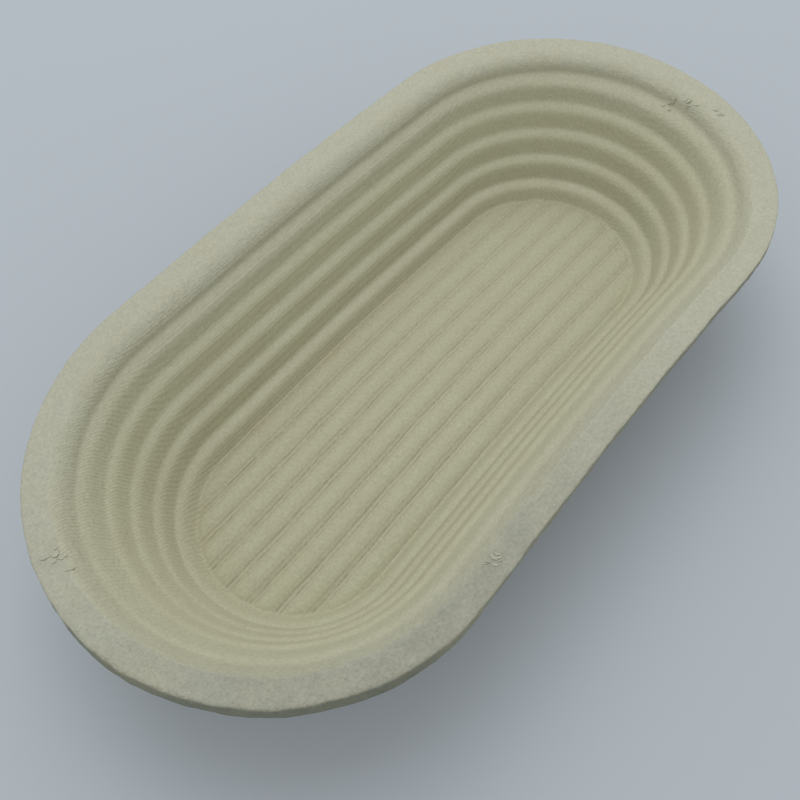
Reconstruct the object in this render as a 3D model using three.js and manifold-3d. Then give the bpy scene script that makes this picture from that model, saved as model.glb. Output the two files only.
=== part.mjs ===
// Long proofing basket, moulded in one piece from wood pulp: a tub with straight sides and half-round ends,
// a flat rim, a wall of rounded ribs that run right round it, and a floor of long rounded strips.
// Millimetres, +Z up, +X along the basket. The origin is the middle of the flat underside.

import * as THREE from 'three';
import { mergeVertices } from 'three/addons/utils/BufferGeometryUtils.js';
import Module from 'manifold-3d';

// Overall size
const LENGTH = 340;
const WIDTH = 175;
const HEIGHT = 66;

// Rim: a flat land that rolls over a lip into the wall
const RIM_THICKNESS = 5;
const RIM_LAND = 10;
const RIM_EDGE_RADIUS = 1.5;
const LIP_DEPTH = 7;
const LIP_RADIUS = 6;

// Wall: its slope, its thickness at the grooves, and its ribs, each with a shoulder that stands out
const WALL_ANGLE = 64;
const WALL_THICKNESS = 4.5;
const RIB_PITCH = 12.4;
const RIB_BULGE = 2;
const RIB_SHOULDER = 3.5;
const RIB_RADIUS = 5;
const FOOT_RUN = 3;

// Outside: the hollow corner under the rim and the round corner at the base
const UNDER_RIM_RADIUS = 4;
const BASE_EDGE_RADIUS = 9;

// Floor: its thickness at the grooves, and its strips, which are rooted in the tub below and at their ends
const FLOOR_THICKNESS = 6;
const STRIP_WIDTH = 10.4;
const STRIP_BULGE = 1.5;
const STRIP_ROOT = 1.5;

// Smoothness of the curves
const SECTION_STEPS = 2;
const END_STEPS = 14;
const STRIP_STEPS = 6;

const PULP_COLOUR = 0xb3b197;

const wasm = await Module();
wasm.setup();

// A closed geometry as a solid that can be cut.
function solidOf(geometry) {
  const bare = geometry.clone();
  bare.deleteAttribute('normal');
  bare.deleteAttribute('uv');
  const merged = mergeVertices(bare, 1e-4);
  const vertProperties = new Float32Array(merged.attributes.position.array);
  const triVerts = new Uint32Array(merged.index.array);
  return new wasm.Manifold(new wasm.Mesh({ numProp: 3, vertProperties, triVerts }));
}

// A cut solid as a geometry again.
function geometryOf(solid) {
  const mesh = solid.getMesh();
  const geometry = new THREE.BufferGeometry();
  geometry.setAttribute('position', new THREE.BufferAttribute(new Float32Array(mesh.vertProperties), 3));
  geometry.setIndex(new THREE.BufferAttribute(new Uint32Array(mesh.triVerts), 1));
  geometry.computeVertexNormals();
  return geometry;
}

// The plan of the basket, taken in all round by an inset: two straight sides and two half-round ends.
function planOutline(inset) {
  const endCentre = (LENGTH - WIDTH) / 2;
  const radius = WIDTH / 2 - inset;
  const outline = new THREE.Shape();
  outline.absarc(endCentre, 0, radius, -Math.PI / 2, Math.PI / 2, false);
  outline.absarc(-endCentre, 0, radius, Math.PI / 2, Math.PI * 1.5, false);
  return outline;
}

// Adds the arc that bulges by a given height to the left of the line from one point to the next.
function bulgedArcTo(path, from, to, bulge) {
  const chord = to.clone().sub(from);
  const half = chord.length() / 2;
  const radius = (half * half + bulge * bulge) / (2 * bulge);
  const left = new THREE.Vector2(-chord.y, chord.x).normalize();
  const centre = from.clone().add(to).multiplyScalar(0.5).addScaledVector(left, bulge - radius);
  const start = from.clone().sub(centre).angle();
  const end = to.clone().sub(centre).angle();
  path.absarc(centre.x, centre.y, radius, start, end, true);
}

// Adds the fillet that rounds the corner between two straight runs.
function filletAt(path, before, corner, after, radius) {
  const back = before.clone().sub(corner).normalize();
  const on = after.clone().sub(corner).normalize();
  const halfAngle = Math.acos(back.dot(on)) / 2;
  const bisector = back.clone().add(on).normalize();
  const centre = corner.clone().addScaledVector(bisector, radius / Math.sin(halfAngle));
  const run = radius / Math.tan(halfAngle);
  const start = corner.clone().addScaledVector(back, run).sub(centre).angle();
  const end = corner.clone().addScaledVector(on, run).sub(centre).angle();
  const clockwise = back.cross(on) > 0;
  path.absarc(centre.x, centre.y, radius, start, end, clockwise);
}

// Adds a rib from one groove to the next: a sloping shoulder that rolls over into a straight, steep face.
function ribTo(path, groove, next) {
  const along = next.clone().sub(groove).normalize();
  const out = new THREE.Vector2(-along.y, along.x);
  const shoulder = groove.clone().addScaledVector(along, RIB_SHOULDER).addScaledVector(out, RIB_BULGE);
  filletAt(path, groove, shoulder, next, RIB_RADIUS);
  path.lineTo(next.x, next.y);
}

// The section of the shell, from the underside's edge out, up, over the rim, and down the ribs to the floor.
// Its x is the inset from the outermost edge of the rim and its y is the height.
function shellSection() {
  const slope = THREE.MathUtils.degToRad(WALL_ANGLE);
  const down = new THREE.Vector2(Math.cos(slope), -Math.sin(slope));
  const firstGroove = new THREE.Vector2(RIM_LAND + LIP_DEPTH, HEIGHT - LIP_DEPTH);
  const insetAt = (height) => firstGroove.x + (firstGroove.y - height) / Math.tan(slope);
  const outerInsetAt = (height) => insetAt(height) - WALL_THICKNESS / Math.sin(slope);

  const rimUnderside = HEIGHT - RIM_THICKNESS;
  const baseMiddle = new THREE.Vector2(WIDTH / 2, 0);
  const baseCorner = new THREE.Vector2(outerInsetAt(0), 0);
  const underRim = new THREE.Vector2(outerInsetAt(rimUnderside), rimUnderside);
  const edgeBelow = new THREE.Vector2(0, rimUnderside);
  const edgeAbove = new THREE.Vector2(0, HEIGHT);
  const faceSlope = slope + Math.atan(RIB_BULGE / (RIB_PITCH - RIB_SHOULDER));
  const lipCorner = new THREE.Vector2(firstGroove.x - LIP_DEPTH / Math.tan(faceSlope), HEIGHT);

  const section = new THREE.Path();
  filletAt(section, baseMiddle, baseCorner, underRim, BASE_EDGE_RADIUS);
  filletAt(section, baseCorner, underRim, edgeBelow, UNDER_RIM_RADIUS);
  filletAt(section, underRim, edgeBelow, edgeAbove, RIM_EDGE_RADIUS);
  filletAt(section, edgeBelow, edgeAbove, lipCorner, RIM_EDGE_RADIUS);
  filletAt(section, edgeAbove, lipCorner, firstGroove, LIP_RADIUS);
  section.lineTo(firstGroove.x, firstGroove.y);

  const ribDrop = RIB_PITCH * Math.sin(slope);
  const footHeight = FLOOR_THICKNESS - STRIP_ROOT / 2;
  const wallDrop = firstGroove.y - footHeight;
  const wholeRibs = Math.max(0, Math.round(wallDrop / ribDrop) - 1);
  let groove = firstGroove;
  for (let rib = 0; rib < wholeRibs; rib += 1) {
    const next = groove.clone().addScaledVector(down, RIB_PITCH);
    ribTo(section, groove, next);
    groove = next;
  }
  const foot = new THREE.Vector2(insetAt(FLOOR_THICKNESS) + FOOT_RUN, footHeight);
  ribTo(section, groove, foot);
  return { points: section.getPoints(SECTION_STEPS), floorInset: foot.x };
}

// Carries the section round the plan and closes it with the underside and the floor.
function shellGeometry(sectionPoints) {
  const rings = sectionPoints.map((point) => {
    const ring = planOutline(point.x).getPoints(END_STEPS).slice(0, -1);
    return ring.map((corner) => new THREE.Vector3(corner.x, corner.y, point.y));
  });
  const count = rings[0].length;
  const corners = rings.flat();
  const triangles = [];
  for (let ring = 0; ring + 1 < rings.length; ring += 1) {
    for (let step = 0; step < count; step += 1) {
      const here = ring * count + step;
      const beside = ring * count + ((step + 1) % count);
      triangles.push(here, beside, here + count, beside, beside + count, here + count);
    }
  }
  const cap = THREE.ShapeUtils.triangulateShape(rings[0], []);
  const floorStart = (rings.length - 1) * count;
  for (const [a, b, c] of cap) {
    triangles.push(a, c, b);
    triangles.push(floorStart + a, floorStart + b, floorStart + c);
  }
  const geometry = new THREE.BufferGeometry();
  geometry.setFromPoints(corners);
  geometry.setIndex(triangles);
  return geometry;
}

// The strips of the floor: one slab along the basket whose top is a row of arcs, cut to the floor's plan.
// It reaches past the floor's edge all round, so the ends of the strips run into the wall's foot.
function floorStrips(floorInset) {
  const floorWidth = WIDTH - 2 * floorInset;
  const strips = Math.max(1, Math.round(floorWidth / STRIP_WIDTH));
  const pitch = floorWidth / strips;
  const reach = floorWidth / 2 + STRIP_ROOT;
  const bottom = FLOOR_THICKNESS - STRIP_ROOT;

  const slabSection = new THREE.Shape();
  slabSection.moveTo(-reach, bottom);
  slabSection.lineTo(-reach, FLOOR_THICKNESS);
  slabSection.lineTo(-floorWidth / 2, FLOOR_THICKNESS);
  for (let index = 0; index < strips; index += 1) {
    const left = new THREE.Vector2(-floorWidth / 2 + index * pitch, FLOOR_THICKNESS);
    const right = new THREE.Vector2(left.x + pitch, FLOOR_THICKNESS);
    bulgedArcTo(slabSection, left, right, STRIP_BULGE);
  }
  slabSection.lineTo(reach, FLOOR_THICKNESS);
  slabSection.lineTo(reach, bottom);
  slabSection.closePath();

  const slab = new THREE.ExtrudeGeometry(slabSection, {
    depth: LENGTH,
    bevelEnabled: false,
    curveSegments: STRIP_STEPS,
  });
  slab.translate(0, 0, -LENGTH / 2);
  slab.rotateX(Math.PI / 2);
  slab.rotateZ(Math.PI / 2);
  const plan = new THREE.ExtrudeGeometry(planOutline(floorInset - STRIP_ROOT), {
    depth: FLOOR_THICKNESS + STRIP_BULGE + STRIP_ROOT,
    bevelEnabled: false,
    curveSegments: END_STEPS,
  });
  return solidOf(slab).intersect(solidOf(plan));
}

function basketShell() {
  const { points, floorInset } = shellSection();
  const tub = solidOf(shellGeometry(points));
  const geometry = geometryOf(tub.add(floorStrips(floorInset)));
  const pulp = new THREE.MeshStandardMaterial({ color: PULP_COLOUR, roughness: 0.95, metalness: 0 });
  const mesh = new THREE.Mesh(geometry, pulp);
  mesh.name = 'basket_shell';
  return mesh;
}

const basket = new THREE.Group();
basket.name = 'proofing_basket';
basket.add(basketShell());

export default basket;
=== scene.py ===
import math
import random

import bpy
import numpy as np
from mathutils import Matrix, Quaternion, Vector, noise
from mathutils.bvhtree import BVHTree


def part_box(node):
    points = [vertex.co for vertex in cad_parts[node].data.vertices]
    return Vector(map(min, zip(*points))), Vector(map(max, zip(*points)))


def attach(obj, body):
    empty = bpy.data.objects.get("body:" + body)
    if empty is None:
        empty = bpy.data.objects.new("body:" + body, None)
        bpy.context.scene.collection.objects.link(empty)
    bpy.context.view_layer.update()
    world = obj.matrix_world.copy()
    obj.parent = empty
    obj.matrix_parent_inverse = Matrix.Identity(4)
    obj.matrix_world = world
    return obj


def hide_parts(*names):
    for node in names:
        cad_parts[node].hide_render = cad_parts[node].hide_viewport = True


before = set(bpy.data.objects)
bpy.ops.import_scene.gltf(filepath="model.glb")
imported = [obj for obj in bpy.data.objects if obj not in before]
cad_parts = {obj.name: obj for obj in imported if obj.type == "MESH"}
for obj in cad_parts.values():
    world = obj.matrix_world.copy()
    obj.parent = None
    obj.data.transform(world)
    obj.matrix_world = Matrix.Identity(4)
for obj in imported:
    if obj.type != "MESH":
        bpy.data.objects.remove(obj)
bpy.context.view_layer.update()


# Basket shell: ground wood fibre, drawn as a wet mat on to a sieve-covered mould, pressed and dried in one
# piece. The inside is the sieve side, with ribs round the wall and strips along the floor. The outside is
# the felt side, which nothing smooths, and the rim's edge is where the mat was trimmed.

low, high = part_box("basket_shell")
LENGTH, WIDTH, HEIGHT = high - low

# The rim, with its trimmed edge and the lip that rolls into the well
RIM_THICKNESS = 0.005
RIM_LAND = 0.010
RIM_EDGE_RADIUS = 0.0006
EDGE_FLARE = 0.0016
LIP_DEPTH = 0.007
LIP_RADIUS = 0.0065

# The wall, with its ribs
WALL_ANGLE = math.radians(64)
WALL_THICKNESS = 0.0045
RIBS = 5
RIB_PITCH = 0.0124
RIB_BULGE = 0.0024
RIB_SHOULDER = 0.0035
RIB_RADIUS = 0.005
FOOT_RUN = 0.003
UNDER_RIM_RADIUS = 0.004
BASE_EDGE_RADIUS = 0.009

# The floor, with its strips
FLOOR_THICKNESS = 0.006
STRIPS = 8
STRIP_BULGE = 0.0017
STRIP_GROOVE_RADIUS = 0.0006
TONGUE = 0.0030

# How finely the section and the plan are stepped, and how far the pulp fills their corners
SECTION_STEP = 0.0001
CORNER_SOFTNESS = 0.00025
RIB_SOFTNESS = 0.0007
FOOT_SOFTNESS = 0.0008
SIDE_STEPS = 88
END_STEPS = 144


def unit(vector):
    """A vector of length 1 along a given one."""
    return vector / np.linalg.norm(vector)


def hump(distance, spread):
    """A soft hump: 1 at no distance, and close to 0 beyond three times its spread."""
    return np.exp(-0.5 * (distance / spread) ** 2)


def share_between(value, start, end):
    """How far a value has come from a start to an end, from 0 to 1."""
    return np.clip((value - start) / (end - start), 0, 1)


def point(inset, level):
    """A point of the section: how far in from the rim's outermost edge, and how high."""
    return np.array((inset, level))


def straight(start, end):
    """Points along a line of the section."""
    share = np.linspace(0, 1, 2 + int(np.linalg.norm(end - start) / SECTION_STEP))
    return start + np.outer(share, end - start)


def arc_about(centre, start, end):
    """Points along the shorter arc about a centre, from one point to another."""
    first = math.atan2(*(start - centre)[::-1])
    sweep = math.remainder(math.atan2(*(end - centre)[::-1]) - first, math.tau)
    radius = np.linalg.norm(start - centre)
    turn = first + sweep * np.linspace(0, 1, 2 + int(radius * abs(sweep) / SECTION_STEP))
    return centre + radius * np.column_stack((np.cos(turn), np.sin(turn)))


def filleted(before, corner, after, radius):
    """The arc that rounds the corner between two straight runs."""
    back = unit(before - corner)
    onward = unit(after - corner)
    half_angle = math.acos(back @ onward) / 2
    centre = corner + unit(back + onward) * radius / math.sin(half_angle)
    tangent = radius / math.tan(half_angle)
    return arc_about(centre, corner + back * tangent, corner + onward * tangent)


def rib(above, below):
    """A rib between two grooves: a sloping shoulder that rolls over into a straight, steep face."""
    chord = below - above
    out = unit(point(-chord[1], chord[0]))
    shoulder_end = above + RIB_SHOULDER * unit(chord) + RIB_BULGE * out
    roll = filleted(above, shoulder_end, below, RIB_RADIUS)
    return np.vstack((straight(above, roll[0]), roll, straight(roll[-1], below)))


def outer_wall(level):
    """The outside of the wall at a level."""
    inner = first_groove[0] + (first_groove[1] - level) / math.tan(WALL_ANGLE)
    return point(inner - WALL_THICKNESS / math.sin(WALL_ANGLE), level)


first_groove = point(RIM_LAND + LIP_DEPTH, HEIGHT - LIP_DEPTH)
down_wall = point(math.cos(WALL_ANGLE), -math.sin(WALL_ANGLE))
grooves = [first_groove + down_wall * RIB_PITCH * number for number in range(RIBS)]
floor_inset = first_groove[0] + (first_groove[1] - FLOOR_THICKNESS) / math.tan(WALL_ANGLE) + FOOT_RUN
grooves.append(point(floor_inset, FLOOR_THICKNESS))

base_middle = point(WIDTH / 2, 0)
base_corner = outer_wall(0)
under_rim = outer_wall(HEIGHT - RIM_THICKNESS)
edge_below = point(-EDGE_FLARE / 2, HEIGHT - RIM_THICKNESS)
edge_above = point(EDGE_FLARE / 2, HEIGHT)
lip_slope = WALL_ANGLE + math.atan(RIB_BULGE / (RIB_PITCH - RIB_SHOULDER))
lip_corner = point(first_groove[0] - LIP_DEPTH / math.tan(lip_slope), HEIGHT)
floor_middle = point(WIDTH / 2, FLOOR_THICKNESS)

base_round = filleted(base_middle, base_corner, under_rim, BASE_EDGE_RADIUS)
rim_hollow = filleted(base_corner, under_rim, edge_below, UNDER_RIM_RADIUS)
lower_edge = filleted(under_rim, edge_below, edge_above, RIM_EDGE_RADIUS)
upper_edge = filleted(edge_below, edge_above, lip_corner, RIM_EDGE_RADIUS)
lip = filleted(edge_above, lip_corner, first_groove, LIP_RADIUS)


def run(places, gap, felt=0, trimmed=0, rim=0, moulded=0, floor=0):
    """A run of the section: its points, the gap between the mesh's rings on it, and what surface it is."""
    return np.column_stack((places, np.tile((gap, felt, trimmed, rim, moulded, floor), (len(places), 1))))


# The runs of the section, from the middle of the underside to the middle of the floor
runs = [
    run(straight(base_middle, base_round[0]), gap=0.0045, felt=1),
    run(base_round, gap=0.0014, felt=1),
    run(straight(base_round[-1], rim_hollow[0]), gap=0.0022, felt=1),
    run(rim_hollow, gap=0.0012, felt=1),
    run(straight(rim_hollow[-1], lower_edge[0]), gap=0.0012, felt=1),
    run(lower_edge, gap=0.0004, felt=1, trimmed=1),
    run(straight(lower_edge[-1], upper_edge[0]), gap=0.0006, felt=1, trimmed=1),
    run(upper_edge, gap=0.0003, trimmed=0.4, rim=1),
    run(straight(upper_edge[-1], lip[0]), gap=0.0010, rim=1),
    run(lip, gap=0.0010, rim=0.9, moulded=1),
    run(straight(lip[-1], first_groove), gap=0.0010, rim=0.6, moulded=1),
]
for number in range(RIBS):
    like_rim = 0.35 if number == 0 else 0
    runs.append(run(rib(grooves[number], grooves[number + 1]), gap=0.0010, rim=like_rim, moulded=1))
runs.append(run(straight(grooves[-1], floor_middle), gap=0.0007, moulded=1, floor=1))

section = np.vstack(runs)
travel = np.concatenate(([0], np.cumsum(np.linalg.norm(np.diff(section[:, :2], axis=0), axis=1))))
fine = np.arange(0, travel[-1], SECTION_STEP)
section = np.column_stack([np.interp(fine, travel, column) for column in section.T])
GAP_COLUMN = 2
MOULDED_COLUMN = 6
FLOOR_COLUMN = 7


def softened(table, softness):
    """Each column of a table smoothed along the section."""
    spread = round(3 * softness / SECTION_STEP)
    kernel = hump(np.arange(-spread, spread + 1) * SECTION_STEP, softness)
    kernel /= kernel.sum()
    return np.column_stack([np.convolve(np.pad(c, spread, "edge"), kernel, "valid") for c in table.T])


# Pulp fills every sharp corner, the grooves between the ribs more so, and the foot of the wall most of all.
soft = softened(section, CORNER_SOFTNESS)
rounder = softened(section, RIB_SOFTNESS)
soft += rounder[:, [MOULDED_COLUMN]] * (rounder - soft)
foot = fine[np.argmax(section[:, FLOOR_COLUMN] > 0.5)]
near_foot = hump(fine - foot, 2 * FOOT_SOFTNESS)[:, None]
soft += near_foot * (softened(section, FOOT_SOFTNESS) - soft)
soft[[0, -1], 0] = WIDTH / 2

ring_numbers = np.cumsum(SECTION_STEP / section[:, GAP_COLUMN])
ring_stops = np.linspace(ring_numbers[0], ring_numbers[-1], round(ring_numbers[-1]))
picked = np.interp(ring_stops, ring_numbers, np.arange(len(fine)))
rings = np.column_stack([np.interp(picked, np.arange(len(fine)), column) for column in soft.T])
inset, level, _, felt, trimmed, rim, moulded, floor = rings.T

# The plan that the section is carried round: each step has a place on the spine and a bearing away from it.
end_centre = (LENGTH - WIDTH) / 2
along_side = np.linspace(-end_centre, end_centre, SIDE_STEPS, endpoint=False)
far_spine = np.full(END_STEPS, end_centre)
right_bearing = np.full(SIDE_STEPS, -math.pi / 2)
end_bearing = np.linspace(-math.pi / 2, math.pi / 2, END_STEPS, endpoint=False)
spine = np.concatenate((along_side, far_spine, -along_side, -far_spine))
bearing = np.concatenate((right_bearing, end_bearing, -right_bearing, end_bearing + math.pi))
toward_far = np.cos(bearing)
toward_left = np.sin(bearing)


def round_the_rim(pairs):
    """A value for each step of the plan, from pairs of a bearing in degrees and the value there."""
    bearings, values = zip(*pairs)
    return np.interp(np.degrees(bearing) % 360, bearings, values)


# Parts of the plan as shares from 0 to 1. The mat is thickest at the near right corner, where the lip is
# less steep, and the ribs are pressed less deep round the near end and along the right side.
CORNER_START = 0.395
CORNER_RISE_X = -2.27
CORNER_RISE_Y = -4.70
LIP_FADE = 0.92
RIB_FADES = ((0, 0), (100, 0), (135, 0.45), (180, 0.80), (205, 0.70), (230, 0.45), (270, 0.40), (315, 0.35),
             (345, 0))

far_end = np.clip(toward_far, 0, 1)
far_left = np.clip(1.2 * np.cos(bearing - math.radians(55)), 0, 1)
right_side = share_between(-toward_left, 0.75, 1)
rim_x = spine + WIDTH / 2 * toward_far
rim_y = WIDTH / 2 * toward_left
near_right = np.clip(CORNER_START + CORNER_RISE_X * rim_x + CORNER_RISE_Y * rim_y, 0, 1)
near_right = near_right**2 * (3 - 2 * near_right)

on_ribs = moulded * (1 - floor) * (level < first_groove[1])
groove_insets, groove_levels = np.array(grooves[::-1]).T
rib_depth = np.clip(inset - np.interp(level, groove_levels, groove_insets), 0, RIB_BULGE) * on_ribs
second_groove = grooves[1]
straight_lip = np.interp(level, (second_groove[1], HEIGHT), (second_groove[0], RIM_LAND))
lip_depth = np.clip(inset - rib_depth - straight_lip, 0, None) * moulded * (level > second_groove[1])

# Under the lip the groove is drawn in deeper along the left side and the far end, where the lip also sits
# further out.
UNDER_LIP = 0.0011
UNDER_LIP_DROP = 0.0012
UNDER_LIP_SPREAD = 0.0013
FAR_LIP = 0.0014
FAR_LIP_RISE = 0.002
FAR_LIP_SPREAD = 0.0028

above_groove = level - first_groove[1]
under_lip = UNDER_LIP * hump(above_groove + UNDER_LIP_DROP, UNDER_LIP_SPREAD) * moulded
far_lip = FAR_LIP * hump(above_groove - FAR_LIP_RISE, FAR_LIP_SPREAD) * moulded

# The trimmed edge leans out at the near end and stands upright, or a little under, everywhere else.
EDGE_LEANS = ((0, -0.0010), (120, -0.0012), (170, -0.0010), (188, 0), (245, 0), (262, -0.0006),
              (270, -0.0013), (320, -0.0010), (360, -0.0010))
EDGE_REACH = 0.008

down_the_edge = np.clip((HEIGHT - level) / RIM_THICKNESS, 0, 1) * np.clip(1 - inset / EDGE_REACH, 0, 1)

reach = WIDTH / 2 - inset
reach_here = reach[:, None] + np.outer(rib_depth, round_the_rim(RIB_FADES))
reach_here += np.outer(lip_depth, LIP_FADE * np.maximum(near_right, right_side))
reach_here += np.outer(under_lip, far_left) + np.outer(down_the_edge, round_the_rim(EDGE_LEANS))
reach_here += np.outer(far_lip, far_end)
grid_x = spine + reach_here * toward_far
grid_y = reach_here * toward_left

# The floor's strips are long low domes with soft grooves between, and each ends in a round tongue at the
# wall. Toward the far end they are worn lower.
STRIP_WEAR = 0.35
WEAR_START = -0.04
WEAR_END = 0.10
TONGUE_FADE = 0.9

floor_half = WIDTH / 2 - floor_inset
strip_width = 2 * floor_half / STRIPS
across = np.mod(grid_y + floor_half, strip_width)
to_groove = np.minimum(across, strip_width - across)
from_groove = np.hypot(to_groove, STRIP_GROOVE_RADIUS) - STRIP_GROOVE_RADIUS
half_strip = math.hypot(strip_width / 2, STRIP_GROOVE_RADIUS) - STRIP_GROOVE_RADIUS
dome = 1 - (1 - from_groove / half_strip) ** 2
from_wall = np.clip((inset - floor_inset) / TONGUE, 0, 1)
tongue = np.outer((1 - from_wall) ** 2, toward_far**2 * (1 - TONGUE_FADE * near_right))
on_floor = floor[:, None]
rise = np.clip(dome - tongue, 0, 1) * on_floor
worn = share_between(grid_x, WEAR_START, WEAR_END)
grid_z = level[:, None] + STRIP_BULGE * rise * (1 - STRIP_WEAR * worn)

# At the far end the rim is dished towards its lip.
FAR_RIM_DISH = 0.0010
DISH_START = 0.002
DISH_END = 0.014

on_rim = np.clip(above_groove / LIP_DEPTH, 0, 1) * (1 - felt)
inner_rim = share_between(inset, DISH_START, DISH_END) ** 2 * on_rim
grid_z -= FAR_RIM_DISH * np.outer(inner_rim, far_end)

# The sieve is a woven wire cloth whose wires lie along and across the basket, pulled up over the wall. Its
# print is clear in the floor's grooves and on the left wall, and faint on the strips and the rim.
PRINT_ON_RIM = 0.15
PRINT_AT_FAR_END = 0.6
STRIP_PRINT_LOSS = 0.75
FAR_PRINT_LOSS = 0.8

climb = np.clip(inset, RIM_LAND, floor_inset)
on_wall = (floor_inset - climb)[:, None]
flat_part = (reach + climb - floor_inset)[:, None]
pull_x = np.sqrt(1 + (math.tan(WALL_ANGLE) * toward_far) ** 2)
pull_y = np.sqrt(1 + (math.tan(WALL_ANGLE) * toward_left) ** 2)
sieve_x = spine + toward_far * (flat_part + on_wall * pull_x)
sieve_y = toward_left * (flat_part + on_wall * pull_y)
left_side = np.clip(0.5 + 1.2 * toward_left, 0.35, 1)
imprint = (moulded + PRINT_ON_RIM * (1 - moulded) * rim)[:, None] * (1 - STRIP_PRINT_LOSS * rise)
print_x = imprint * (1 - on_floor) * PRINT_AT_FAR_END * far_end
print_y = imprint * (on_floor + (1 - on_floor) * left_side * (1 - FAR_PRINT_LOSS * far_end))

# The grid becomes a mesh, with points that fall together in the middle of the floor and the base joined.
grid = np.stack((grid_x, grid_y, grid_z), axis=2).reshape(-1, 3)
ring_count, step_count = grid_x.shape
_, first_use, place = np.unique(np.round(grid, 7), axis=0, return_index=True, return_inverse=True)
place = place.reshape(ring_count, step_count)
beside = np.roll(place, -1, axis=1)
quads = np.stack((place[:-1], beside[:-1], beside[1:], place[1:]), axis=2).reshape(-1, 4)
faces = [list(dict.fromkeys(quad)) for quad in quads.tolist()]
faces = [face for face in faces if len(face) > 2]
points = grid[first_use]


def at_points(values):
    """Values given for each ring, or for the whole grid, as one for each point of the mesh."""
    values = np.asarray(values, float)
    if values.ndim == 1:
        values = np.repeat(values[:, None], step_count, axis=1)
    return values.reshape(-1)[first_use]


def lumps(size, seed):
    """Smooth noise at each point of the mesh, about -1 to 1, with features of a given size."""
    shift = Vector((seed, 1.7 * seed, -2.3 * seed))
    return np.array([noise.noise(Vector(spot) / size + shift) for spot in points])


def patch(middle, spread):
    """A soft round patch about a place in the plan, from 0 to 1."""
    return hump(np.linalg.norm(points[:, :2] - middle, axis=1), spread)


mesh = bpy.data.meshes.new("basket_shell_pulp")
mesh.from_pydata(points.tolist(), [], faces)
mesh.update()
normals = np.empty(len(points) * 3, np.float32)
mesh.vertices.foreach_get("normal", normals)
normals = normals.reshape(-1, 3)

# The mat dries unevenly: long swells all over, a lumpy felt side that echoes the ribs, a rough rim that is
# coarsest at its near right corner, a ragged trimmed edge, and a slight bend along the whole length.
COARSE_MIDDLE = (-0.105, -0.075)
COARSE_SPREAD = 0.075
RIGHT_RIM_COARSE_START = 0.024
RIGHT_RIM_COARSE_END = 0.008
TORN_MIDDLES = ((-0.158, 0.0235), (0.154, -0.018), (0.1548, -0.032), (-0.070, -0.0785))
TORN_SPREAD = 0.005
TORN_LUMP = 0.0024
TORN_HEIGHT = 0.00060
RIB_ECHO = 0.00035
ECHO_START = 0.006
ECHO_END = 0.018
BASE_EASE = 0.004
EDGE_DEPTH = 0.002
BEND = 0.0012
BEND_LENGTH = 0.27
BEND_MIDDLE = 0.013
LUMP_KINDS = (
    # Size and seed of the lumps, and their height inside, on the felt side, on the rim and on coarse pulp
    (0.030, 3, 0.00020, 0, 0, 0),
    (0.008, 11, 0.00005, 0.00018, 0.00009, 0.00015),
    (0.0035, 23, 0.00002, 0.00010, 0.00008, 0.00014),
)
RAGGED_KINDS = (
    # Size and seed of the edge's teeth, and their depth
    (0.014, 31, 0.00018),
    (0.0035, 37, 0.00020),
)

felt_here = at_points(felt)
rim_here = at_points(rim[:, None] * (1 - np.outer(moulded, 0.8 * near_right * (1 - right_side))))
rim_at_right = share_between(inset, RIGHT_RIM_COARSE_START, RIGHT_RIM_COARSE_END) * (1 - felt)
coarse_rim = np.outer(rim * (1 - 0.5 * moulded), 1 - right_side)
coarse_rim += np.outer(rim_at_right * (1 - 0.6 * moulded), right_side)
coarse_here = patch(COARSE_MIDDLE, COARSE_SPREAD) * (1 + 0.3 * lumps(0.010, 41)) * at_points(coarse_rim)
torn_here = sum(patch(middle, TORN_SPREAD) for middle in TORN_MIDDLES) * (1 - felt_here)

felt_lumps = felt_here * (1 - 0.8 * at_points(trimmed))
bumps = TORN_HEIGHT * torn_here * np.abs(lumps(TORN_LUMP, 47))
for size, seed, on_inside, on_felt, on_rim_land, on_coarse in LUMP_KINDS:
    height_here = on_inside + on_felt * felt_lumps + on_rim_land * rim_here + on_coarse * coarse_here
    bumps += height_here * lumps(size, seed)
rib_phase = (first_groove[1] - points[:, 2]) / (RIB_PITCH * math.sin(WALL_ANGLE))
on_outer_wall = felt_here * share_between(points[:, 2], ECHO_START, ECHO_END) * (rib_phase > 0)
bumps -= RIB_ECHO * (0.5 - 0.5 * np.cos(math.tau * rib_phase)) * on_outer_wall
off_base = np.clip(points[:, 2] / BASE_EASE, 0, 1)
moved = points + normals * (bumps * off_base)[:, None]

ragged = sum(depth * lumps(size, seed) for size, seed, depth in RAGGED_KINDS)
ragged *= at_points(np.outer(0.5 + 0.5 * (level > HEIGHT - EDGE_DEPTH), 1 + near_right))
ragged *= np.exp(-at_points(inset) / EDGE_DEPTH) * (points[:, 2] > HEIGHT / 2)
moved[:, 0] += ragged * at_points(np.tile(toward_far, (ring_count, 1)))
moved[:, 1] += ragged * at_points(np.tile(toward_left, (ring_count, 1)))
moved[:, 1] += BEND * np.cos(math.tau * (points[:, 0] - BEND_MIDDLE) / BEND_LENGTH)
mesh.vertices.foreach_set("co", moved.astype(np.float32).ravel())
mesh.shade_smooth()

# Where light and shade are painted into the pulp's colour: a painted highlight on the far left ribs' upward
# shoulders and on the ribs round the near end, painted warm shade in the floor's grooves and at the wall's
# left foot, and painted shade on the trimmed edge, strongest at the near end.
RIB_HIGHLIGHTS = ((0, 0), (110, 0), (135, 0.2), (180, 0.6), (215, 0.25), (270, 0.15), (300, 0.25), (330, 0))
EDGE_SHADES = ((0, 0.2), (150, 0.2), (190, 0.7), (225, 1), (250, 1), (268, 0.2), (360, 0.2))
HIGHLIGHT_START = 0.006
HIGHLIGHT_FULL = 0.018
HIGHLIGHT_EASE_START = 0.030
HIGHLIGHT_EASE_END = 0.055
WARM_SHADE_SPREAD = 0.004

# Painted highlight: the ribs' upward shoulders on the far left, and the lower ribs round the near end, are
# made paler where light falls on them
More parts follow.
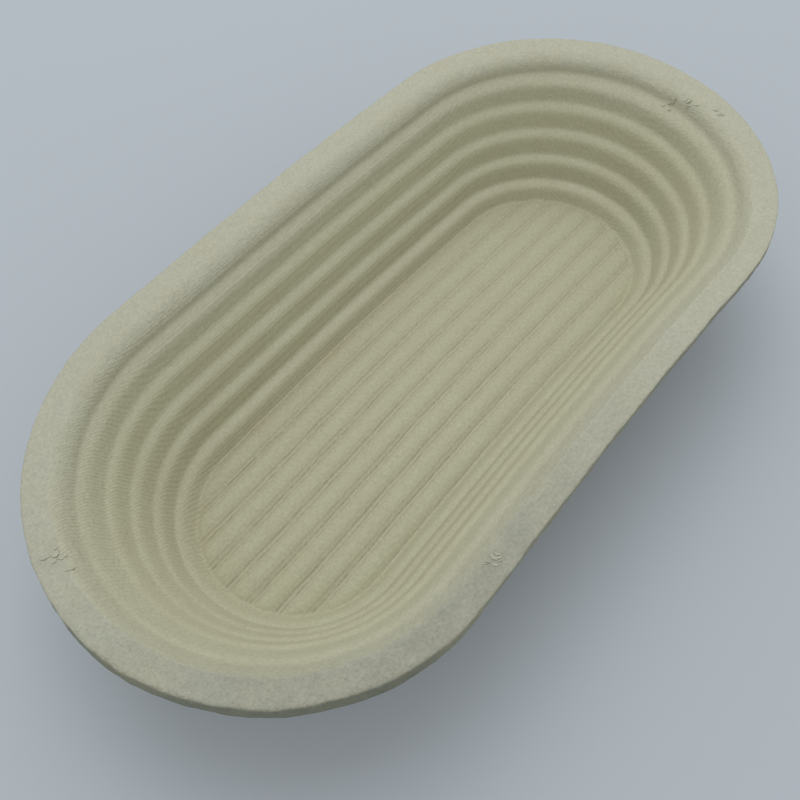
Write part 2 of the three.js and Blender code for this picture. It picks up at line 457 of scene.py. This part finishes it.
facing_up = np.abs(np.gradient(inset)) / np.hypot(np.gradient(inset), np.gradient(level))
low_down = 1 - 0.9 * share_between(level, FLOOR_THICKNESS, first_groove[1])
lit_shoulders = share_between(facing_up, 0.5, 0.85) * on_ribs * low_down
low_ribs = on_ribs * share_between(level, HIGHLIGHT_START, HIGHLIGHT_FULL)
low_ribs *= 1 - 0.8 * share_between(level, HIGHLIGHT_EASE_START, HIGHLIGHT_EASE_END)
painted_highlight = np.maximum(np.outer(lit_shoulders, far_left), np.outer(low_ribs, round_the_rim(RIB_HIGHLIGHTS)))
# Painted warm shade: browner pulp at the wall's foot, most on the left, and in the floor's grooves
at_foot = hump(inset - floor_inset, WARM_SHADE_SPREAD) * moulded
warm_shade = np.outer(at_foot, np.clip(0.3 + toward_left, 0, 1))
# The floor's grooves: where the wire cuts fall, and where painted shade and painted warm shade go
in_grooves = np.clip(1.35 - 1.6 * rise, 0, 1) * (1 - 0.6 * worn) * on_floor
# Painted shade on the trimmed edge, strongest at the near end
painted_edge_shade = np.outer(trimmed, round_the_rim(EDGE_SHADES))
surface_facts = {
    "sieve": (at_points(sieve_x), at_points(sieve_y), at_points(painted_edge_shade)),
    "print": (at_points(print_x), at_points(print_y), at_points(in_grooves)),
    "zones": (felt_here, rim_here, coarse_here),
    "tone": (at_points(painted_highlight), at_points(warm_shade), at_points(floor)),
}
for name, facts in surface_facts.items():
    layer = mesh.attributes.new(name, "FLOAT_VECTOR", "POINT")
    layer.data.foreach_set("vector", np.column_stack(facts).astype(np.float32).ravel())

basket = bpy.data.objects.new("basket_shell_pulp", mesh)
bpy.context.scene.collection.objects.link(basket)

# Wood pulp: pale straw fibre, greyer and rougher on the rim and the felt side, with a few specks of bark.
INSIDE_PULP = (183, 183, 158)
RIM_PULP = (182, 183, 165)
# Painted highlight: paler pulp for the rib shoulders and ribs that light falls on
HIGHLIGHT_PULP = (196, 195, 172)
COARSE_PULP = (160, 162, 148)
FELT_PULP = (152, 152, 134)
# Painted shade: the trimmed edge where shade falls, and the torn flakes' undersides
SHADED_EDGE_PULP = (113, 118, 106)
BROWN_PULP = (176, 169, 141)
BARK = (104, 92, 66)
BROWN_PATCH = 0.016
BROWN_MOST = 0.18
# Painted warm shade in the floor's grooves and at the wall's left foot
BROWN_IN_WARM_SHADE = 0.25
BARK_GAP = 0.0125
BARK_RADIUS = 0.020
BARK_SHARE = 0.25
BARK_STRENGTH = 0.8
SIEVE_PITCH = 0.0016
SIEVE_WANDER = 0.0006
WANDER_LENGTH = 0.020
SIEVE_DEPTH = 0.00004
CUT_BREAKS = 0.004
FLECK = 0.0012
FLECK_DARKEST = 0.93
FLECK_RANGE = 0.14
MOTTLE = 0.0035
MOTTLE_SHADE = 0.05
WIRE_SHADE = 0.05
CUT_SHADE = 0.28
GROOVE_SHADE = 0.015
FLOOR_SHADE = 0.03
FIBRE_CLOT = 0.0024
FIBRE_HAIR = 0.0008
FIBRE_DEPTH = 0.00011

pulp = bpy.data.materials.new("wood_pulp")
pulp.use_nodes = True
pulp_tree = pulp.node_tree
pulp_shader = pulp_tree.nodes["Principled BSDF"]


def srgb(colour):
    """A screen colour from 0 to 255 as the linear colour that a shader takes."""
    shares = [channel / 255 for channel in colour]
    return [c / 12.92 if c <= 0.04045 else ((c + 0.055) / 1.055) ** 2.4 for c in shares] + [1]


def set_input(socket, value):
    """Sets an input of the pulp's shader to a value, or links it to a socket."""
    if isinstance(value, bpy.types.NodeSocket):
        pulp_tree.links.new(value, socket)
    else:
        socket.default_value = value


def add_node(kind, inputs, **settings):
    """A node of the pulp's shader, with its settings and inputs."""
    node = pulp_tree.nodes.new(kind)
    for name, value in settings.items():
        setattr(node, name, value)
    for name, value in inputs.items():
        set_input(node.inputs[name], value)
    return node


def maths(operation, first, second):
    """The result of a sum on two values or sockets."""
    return add_node("ShaderNodeMath", {0: first, 1: second}, operation=operation).outputs[0]


def plus(first, second):
    """One value added to another."""
    return maths("ADD", first, second)


def minus(first, second):
    """One value less another."""
    return maths("SUBTRACT", first, second)


def times(first, second):
    """One value times another."""
    return maths("MULTIPLY", first, second)


def blend(share, first_colour, second_colour):
    """A blend of two colours or sockets."""
    node = add_node("ShaderNodeMix", {"Factor": share}, data_type="RGBA")
    for socket_name, colour in (("A", first_colour), ("B", second_colour)):
        socket = [s for s in node.inputs if s.name == socket_name and s.type == "RGBA"][0]
        set_input(socket, colour)
    return [s for s in node.outputs if s.type == "RGBA"][0]


def object_place():
    """The place of a shaded point, in metres."""
    return add_node("ShaderNodeTexCoord", {}).outputs["Object"]


def grain(size, detail=2.0):
    """Noise with features of a given size, spread over 0 to 1."""
    field = add_node("ShaderNodeTexNoise", {"Vector": object_place(), "Scale": 1 / size, "Detail": detail})
    ends = {"Value": field.outputs[0], "From Min": 0.3, "From Max": 0.7}
    return add_node("ShaderNodeMapRange", ends).outputs[0]


def split_fact(name):
    """The three numbers that the mesh keeps at each point under a name."""
    fact = add_node("ShaderNodeAttribute", {}, attribute_name=name)
    return add_node("ShaderNodeSeparateXYZ", {0: fact.outputs["Vector"]}).outputs


def wire_rows(cloth_place, wander, strength):
    """The waves that one set of the sieve's wires leaves, which wander a little."""
    phase = times(plus(cloth_place, wander), math.tau / SIEVE_PITCH)
    return times(maths("SINE", phase, 0.0), strength)


felt_share, rim_share, coarse_share = split_fact("zones")
print_along, print_across, groove_share = split_fact("print")
cloth_x, cloth_y, painted_shade_share = split_fact("sieve")
highlight_share, warm_shade_share, floor_share = split_fact("tone")

# Fibre colours, from the clean inside to the rim, its coarse patch, the felt side and the trimmed edge
straw = blend(rim_share, srgb(INSIDE_PULP), srgb(RIM_PULP))
# Painted highlight on the upturned rib shoulders and on the ribs round the near end
straw = blend(highlight_share, straw, srgb(HIGHLIGHT_PULP))
straw = blend(coarse_share, straw, srgb(COARSE_PULP))
straw = blend(felt_share, straw, srgb(FELT_PULP))
# Painted shade on the trimmed edge, strongest at the near end, and under the torn flakes
straw = blend(painted_shade_share, straw, srgb(SHADED_EDGE_PULP))
# Painted warm shade in the grooves and at the left foot, over brown patches that fall at random
warm_shade_places = times(plus(warm_shade_share, groove_share), BROWN_IN_WARM_SHADE)
brown_and_shade_share = plus(times(grain(BROWN_PATCH), BROWN_MOST), warm_shade_places)
straw = blend(brown_and_shade_share, straw, srgb(BROWN_PULP))

# Specks of bark, strewn over some of the cells of a loose net. Their radius is a share of a cell.
cells = add_node("ShaderNodeTexVoronoi", {"Scale": 1 / BARK_GAP, "Vector": object_place()})
cell_number = add_node("ShaderNodeSeparateXYZ", {0: cells.outputs["Color"]}).outputs[0]
in_speck = maths("LESS_THAN", cells.outputs["Distance"], BARK_RADIUS)
has_speck = maths("LESS_THAN", cell_number, BARK_SHARE)
straw = blend(times(times(in_speck, has_speck), BARK_STRENGTH), straw, srgb(BARK))

# The sieve's wires leave shallow waves, and in the floor's grooves they cut crisp, broken lines.
wander = times(grain(WANDER_LENGTH), SIEVE_WANDER)
wires_along = wire_rows(cloth_x, wander, print_along)
wires_across = wire_rows(cloth_y, wander, print_across)
wires = plus(wires_along, wires_across)
cuts = minus(times(wires_across, -1.6), 0.6)
cuts = times(maths("MAXIMUM", cuts, 0.0), groove_share)
cuts = times(cuts, plus(grain(CUT_BREAKS), 0.1))

# Fine fibre flecks, with painted shade in the wire marks, the floor's wire cuts and grooves, a darker floor,
# and a coarser mottle on the rim
shade = plus(times(grain(FLECK), FLECK_RANGE), FLECK_DARKEST)
shade = plus(shade, times(maths("MINIMUM", wires, 0.0), WIRE_SHADE))
shade = minus(shade, times(cuts, CUT_SHADE))
shade = minus(shade, times(groove_share, GROOVE_SHADE))
shade = minus(shade, times(floor_share, FLOOR_SHADE))
mottle = times(grain(MOTTLE, detail=3.0), plus(rim_share, coarse_share))
shade = minus(shade, times(minus(mottle, 0.4), MOTTLE_SHADE))
flecked = add_node("ShaderNodeHueSaturation", {"Color": straw, "Value": shade})
set_input(pulp_shader.inputs["Base Color"], flecked.outputs[0])
pulp_shader.inputs["Roughness"].default_value = 0.95
pulp_shader.inputs["Specular IOR Level"].default_value = 0.15

# The relief of the wires and, over it, of the fibre, which stands higher on the rough parts
print_height = minus(wires, times(cuts, 2.0))
print_relief = add_node("ShaderNodeBump", {"Height": print_height, "Strength": 1.0, "Distance": SIEVE_DEPTH})
rough_share = plus(plus(felt_share, rim_share), coarse_share)
fibre_height = plus(grain(FIBRE_CLOT, detail=3.0), grain(FIBRE_HAIR))
fibre_height = times(fibre_height, plus(0.45, rough_share))
fibre_relief = add_node("ShaderNodeBump", {"Height": fibre_height, "Strength": 1.0, "Distance": FIBRE_DEPTH,
                                           "Normal": print_relief.outputs[0]})
set_input(pulp_shader.inputs["Normal"], fibre_relief.outputs[0])
mesh.materials.append(pulp)

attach(basket, "root")
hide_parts("basket_shell")


# Torn flakes and frayed fibres: bits of the mat that lifted when the form came off its mould and was
# trimmed. They are the same pulp: thin scales still rooted in the rim on one side, and loose fibres along
# the near edge.

FLAKE_THICKNESS = 0.0003
FLAKE_ROWS = 5
FLAKE_COLUMNS = 7
FLAKE_LENGTHS = (0.0007, 0.0014)
FLAKE_WIDTHS = (0.0015, 0.0038)
FLAKE_LIFTS = (0.00035, 0.00065)
FLAKE_ROOT_DEPTH = 0.00008
FLAKE_TURN = 35
FLAKE_PATCHES = (
    # Middle of a patch on the rim, its half-lengths along x and y, the number of flakes, and their bearing
    (-0.1578, 0.0235, 0.0022, 0.0050, 6, 260),
    (0.1540, -0.0160, 0.0016, 0.0085, 9, 198),
    (0.1548, -0.0320, 0.0016, 0.0030, 4, 198),
    (-0.0700, -0.0808, 0.0060, 0.0022, 7, 206),
)
# Painted shade under the flakes
UNDERSIDE_SHADE = 0.15
FIBRES = 46
FIBRE_RADIUS = 0.00010
FIBRE_STEPS = 5
FIBRE_SIDES = 3
FIBRE_LENGTHS = (0.0006, 0.0017)
FIBRE_DROOPS = (-0.0010, 0.0002)
FIBRE_INSET = 0.0016
TUFT_BEARINGS = (187, 199, 201, 206, 208)
TUFT_SPREAD = 1.5
FIBRE_TURN = 1.3
FIBRE_CLIMB = 0.15
ABOVE_RIM = 0.1

chance = random.Random(5)
surface = BVHTree.FromPolygons(moved.tolist(), faces)
flake_points = []
flake_faces = []
undersides = []


def rim_at(x, y):
    """The place on top of the rim at a place in the plan, and the way that the surface faces there."""
    root, normal, _, _ = surface.ray_cast(Vector((x, y, ABOVE_RIM)), Vector((0, 0, -1)))
    return root, normal


def add_scale(top):
    """Adds a thin closed scale under a grid of points."""
    rows, columns, _ = top.shape
    start = len(flake_points)
    count = rows * columns
    flake_points.extend(top.reshape(-1, 3).tolist())
    flake_points.extend((top.reshape(-1, 3) - (0, 0, FLAKE_THICKNESS)).tolist())
    undersides.extend(range(start + count, start + 2 * count))
    for row in range(rows - 1):
        for column in range(columns - 1):
            corner = start + row * columns + column
            quad = (corner, corner + columns, corner + columns + 1, corner + 1)
            flake_faces.append(quad)
            flake_faces.append(tuple(count + index for index in reversed(quad)))
    border = list(range(columns)) + [row * columns + columns - 1 for row in range(1, rows)]
    border += [(rows - 1) * columns + column for column in range(columns - 2, -1, -1)]
    border += [row * columns for row in range(rows - 2, 0, -1)]
    for here, onward in zip(border, border[1:] + border[:1]):
        flake_faces.append((start + here, start + onward, start + count + onward, start + count + here))


def add_fibre(root, way, length, droop):
    """Adds a thin hair that curves away from its root."""
    aside = way.cross(Vector((0, 0, 1))).normalized()
    upward = aside.cross(way)
    starts = []
    for step in range(FIBRE_STEPS):
        share = step / (FIBRE_STEPS - 1)
        middle = root + way * (length * share) + Vector((0, 0, droop * share**2))
        radius = FIBRE_RADIUS * (1 - 0.7 * share)
        starts.append(len(flake_points))
        for number in range(FIBRE_SIDES):
            angle = math.tau * number / FIBRE_SIDES
            spoke = math.cos(angle) * aside + math.sin(angle) * upward
            flake_points.append(tuple(middle + radius * spoke))
    for near, far in zip(starts, starts[1:]):
        for number in range(FIBRE_SIDES):
            onward = (number + 1) % FIBRE_SIDES
            flake_faces.append((near + number, near + onward, far + onward, far + number))
    flake_faces.append([starts[0] + number for number in reversed(range(FIBRE_SIDES))])
    flake_faces.append([starts[-1] + number for number in range(FIBRE_SIDES)])


for middle_x, middle_y, half_x, half_y, flake_count, flake_bearing in FLAKE_PATCHES:
    for _ in range(flake_count):
        flake_x = middle_x + chance.uniform(-half_x, half_x)
        flake_y = middle_y + chance.uniform(-half_y, half_y)
        root, normal = rim_at(flake_x, flake_y)
        heading = math.radians(flake_bearing + chance.uniform(-FLAKE_TURN, FLAKE_TURN))
        ahead = Vector((math.cos(heading), math.sin(heading), 0))
        ahead = (ahead - ahead.dot(normal) * normal).normalized()
        aside = normal.cross(ahead)
        length = chance.uniform(*FLAKE_LENGTHS)
        width = chance.uniform(*FLAKE_WIDTHS)
        lift = chance.uniform(*FLAKE_LIFTS)
        scale = np.empty((FLAKE_ROWS, FLAKE_COLUMNS, 3))
        for column in range(FLAKE_COLUMNS):
            sideways = 2 * column / (FLAKE_COLUMNS - 1) - 1
            reach_out = length * (1 - 0.7 * sideways**2) * chance.uniform(0.7, 1.2)
            column_root = root + aside * (sideways * width / 2)
            for row in range(FLAKE_ROWS):
                share = row / (FLAKE_ROWS - 1)
                height = lift * share**1.5 * (1 - 0.6 * sideways**2) - FLAKE_ROOT_DEPTH
                scale[row, column] = column_root + ahead * (share * reach_out) + normal * height
        add_scale(scale)

for _ in range(FIBRES):
    fibre_bearing = math.radians(chance.gauss(chance.choice(TUFT_BEARINGS), TUFT_SPREAD))
    outward = Vector((math.cos(fibre_bearing), math.sin(fibre_bearing), 0))
    fibre_x, fibre_y, _ = Vector((-end_centre, 0, 0)) + outward * (WIDTH / 2 - FIBRE_INSET)
    fibre_y += BEND * math.cos(math.tau * (fibre_x - BEND_MIDDLE) / BEND_LENGTH)
    root, _ = rim_at(fibre_x, fibre_y)
    turned = Quaternion((0, 0, 1), chance.uniform(-FIBRE_TURN, FIBRE_TURN)) @ outward
    way = (turned + Vector((0, 0, FIBRE_CLIMB))).normalized()
    length = chance.uniform(*FIBRE_LENGTHS)
    add_fibre(root, way, length, chance.uniform(*FIBRE_DROOPS))

flake_mesh = bpy.data.meshes.new("rim_flakes")
flake_mesh.from_pydata(flake_points, [], flake_faces)
flake_mesh.update()
flake_mesh.shade_smooth()
like_the_rim = np.tile(np.float32((0, 1, 0)), (len(flake_points), 1))
# Painted shade on the scales' undersides, in the slot that carries the trimmed edge's painted shade
underside_shade = np.zeros((len(flake_points), 3), np.float32)
underside_shade[undersides, 2] = UNDERSIDE_SHADE
for name, facts in (("zones", like_the_rim), ("sieve", underside_shade)):
    layer = flake_mesh.attributes.new(name, "FLOAT_VECTOR", "POINT")
    layer.data.foreach_set("vector", facts.ravel())
flake_mesh.materials.append(pulp)
flakes = bpy.data.objects.new("rim_flakes", flake_mesh)
bpy.context.scene.collection.objects.link(flakes)
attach(flakes, "root")


# Floor: a plain pale sheet that the basket stands on, far wider than the basket. It lies a hair below the
# basket's base, so that the two faces don't fall together.

SHEET_SIZE = 6.0
SHEET_COLOUR = (180, 188, 195)
SHEET_GAP = 0.0002

sheet_mesh = bpy.data.meshes.new("floor_sheet")
sheet_edge = SHEET_SIZE / 2
sheet_corners = [(-sheet_edge, -sheet_edge), (sheet_edge, -sheet_edge), (sheet_edge, sheet_edge),
                 (-sheet_edge, sheet_edge)]
sheet_mesh.from_pydata([(x, y, -SHEET_GAP) for x, y in sheet_corners], [], [(0, 1, 2, 3)])
sheet = bpy.data.objects.new("floor_sheet", sheet_mesh)
bpy.context.scene.collection.objects.link(sheet)
pale_sheet = bpy.data.materials.new("pale_sheet")
pale_sheet.use_nodes = True
sheet_shader = pale_sheet.node_tree.nodes["Principled BSDF"]
sheet_shader.inputs["Base Color"].default_value = srgb(SHEET_COLOUR)
sheet_shader.inputs["Roughness"].default_value = 0.9
sheet_shader.inputs["Specular IOR Level"].default_value = 0.1
sheet_mesh.materials.append(pale_sheet)


# Light: one large soft lamp from the far left, and an even pale surround. Together they light the pulp at a
# plain level, so that its colours render about as they are written.

LAMP_PLACE = Vector((0.44, 0.58, 1.81))
LAMP_SIZE = 1.5
LAMP_POWER = 13.0
SURROUND = 0.70

lamp = bpy.data.lights.new("soft_lamp", "AREA")
lamp.energy = LAMP_POWER
lamp.size = LAMP_SIZE
lamp_object = bpy.data.objects.new("soft_lamp", lamp)
lamp_object.location = LAMP_PLACE
lamp_object.rotation_mode = "QUATERNION"
lamp_object.rotation_quaternion = LAMP_PLACE.to_track_quat("Z", "Y")
bpy.context.scene.collection.objects.link(lamp_object)
world = bpy.data.worlds.new("surround")
world.use_nodes = True
world.node_tree.nodes["Background"].inputs["Color"].default_value = (1, 1, 1, 1)
world.node_tree.nodes["Background"].inputs["Strength"].default_value = SURROUND
bpy.context.scene.world = world


# Camera: at the photograph's angle, above the near left corner, looking down the length of the basket. It is
# held a little off level, and its place is given from the middle of the rim's plane.

CAMERA_BEARING = math.radians(221.55)
CAMERA_ELEVATION = math.radians(58.97)
CAMERA_DISTANCE = 0.3150
CAMERA_ROLL = math.radians(-1.44)
LOOK_RIGHT = -0.0130
LOOK_UP = -0.0410
LENS = 37.70
SENSOR_WIDTH = 36.0

toward_camera = Vector((math.cos(CAMERA_ELEVATION) * math.cos(CAMERA_BEARING),
                        math.cos(CAMERA_ELEVATION) * math.sin(CAMERA_BEARING),
                        math.sin(CAMERA_ELEVATION)))
stance = toward_camera.to_track_quat("Z", "Y") @ Quaternion((0, 0, 1), CAMERA_ROLL)
camera = bpy.data.cameras.new("camera")
camera.sensor_width = SENSOR_WIDTH
camera.lens = LENS
camera.clip_start = 0.01
camera_object = bpy.data.objects.new("camera", camera)
camera_object.rotation_mode = "QUATERNION"
camera_object.rotation_quaternion = stance
camera_object.location = Vector((0, 0, HEIGHT)) + stance @ Vector((LOOK_RIGHT, LOOK_UP, CAMERA_DISTANCE))
bpy.context.scene.collection.objects.link(camera_object)
bpy.context.scene.camera = camera_object

bpy.context.scene.view_settings.view_transform = "Standard"
